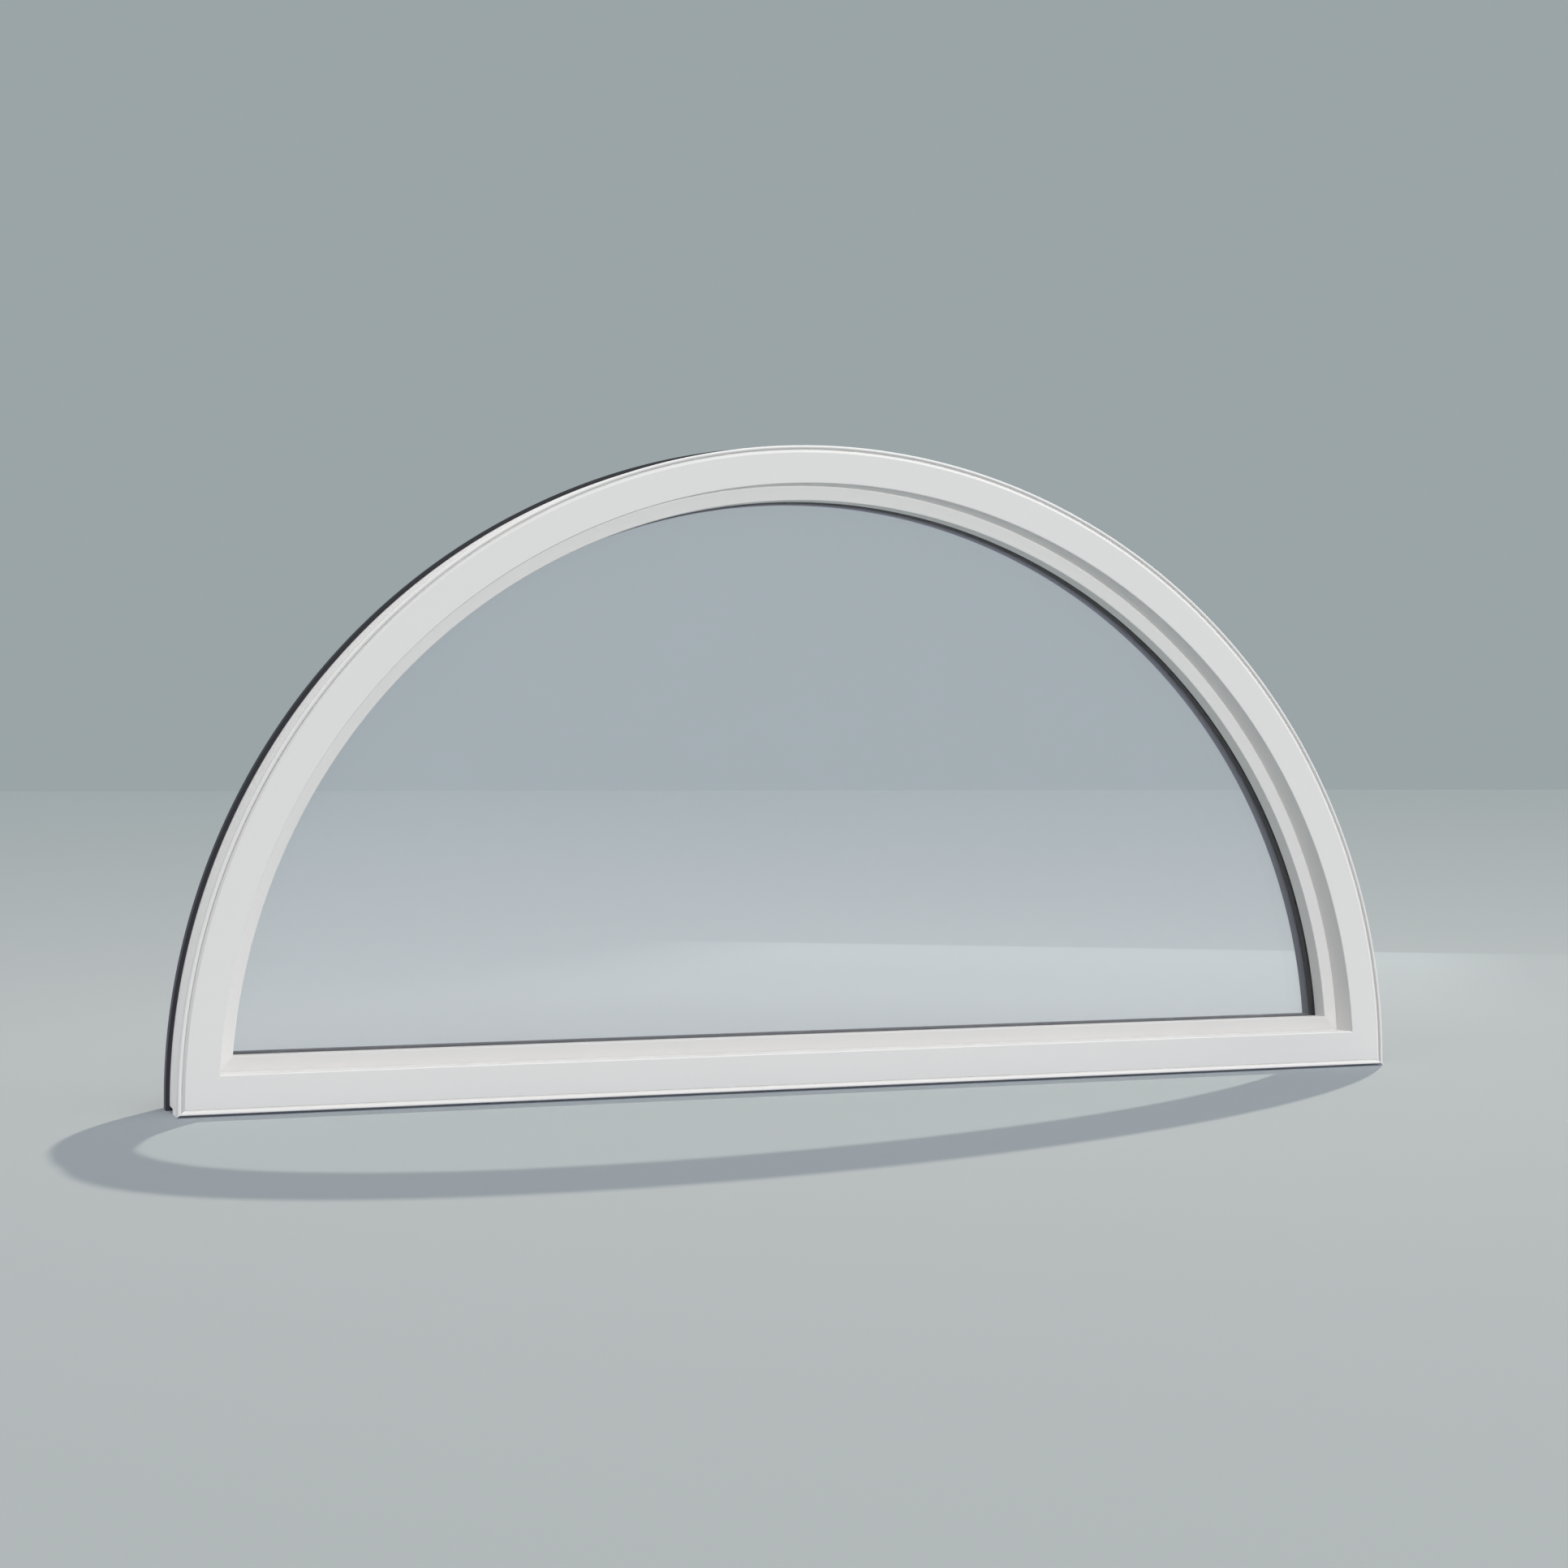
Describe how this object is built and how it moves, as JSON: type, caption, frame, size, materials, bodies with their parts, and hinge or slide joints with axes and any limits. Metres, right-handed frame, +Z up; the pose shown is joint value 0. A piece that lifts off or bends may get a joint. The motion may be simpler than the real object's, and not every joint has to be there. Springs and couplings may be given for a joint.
{
  "type": "half-round window",
  "caption": "Fixed half-round window: white stepped frame bent over a straight sill, sealed double glass in black gaskets, dark outdoor cladding.",
  "frame": {"origin": "under the middle of the sill, halfway through the frame's depth, on the plane the window rests on", "axes": "+X across the window to the right seen from the room, +Y out of doors, +Z up"},
  "size_m": [1.8288, 0.116, 0.9252],
  "materials": {
    "white_frame": "satin white extruded composite",
    "clear_glass": "clear float glass with a faint cool tint",
    "black_gasket": "matt black",
    "black_spacer": "matt black warm-edge bar",
    "edge_sealant": "matt black cured sealant",
    "glazing_block": "firm dark grey rubber",
    "dark_cladding": "near-black satin powder coat on extruded aluminium",
    "dark_cover": "near-black moulded"
  },
  "bodies": {
    "root": {"jamb_arch": "white_frame", "jamb_sill": "white_frame", "frame_arch": "white_frame", "frame_sill": "white_frame", "stop_arch": "white_frame", "stop_sill": "white_frame", "inner_pane": "clear_glass", "outer_pane": "clear_glass", "indoor_gasket_arch": "black_gasket", "indoor_gasket_sill": "black_gasket", "outdoor_gasket_arch": "black_gasket", "outdoor_gasket_sill": "black_gasket", "spacer_arch": "black_spacer", "spacer_sill": "black_spacer", "edge_seal_arch": "edge_sealant", "edge_seal_sill": "edge_sealant", "setting_block_left": "glazing_block", "setting_block_right": "glazing_block", "edge_block_left": "glazing_block", "edge_block_right": "glazing_block", "edge_block_crown": "glazing_block", "cladding_arch": "dark_cladding", "cladding_sill": "dark_cladding", "weep_cover_left": "dark_cover", "weep_cover_right": "dark_cover"}
  },
  "joints": []
}
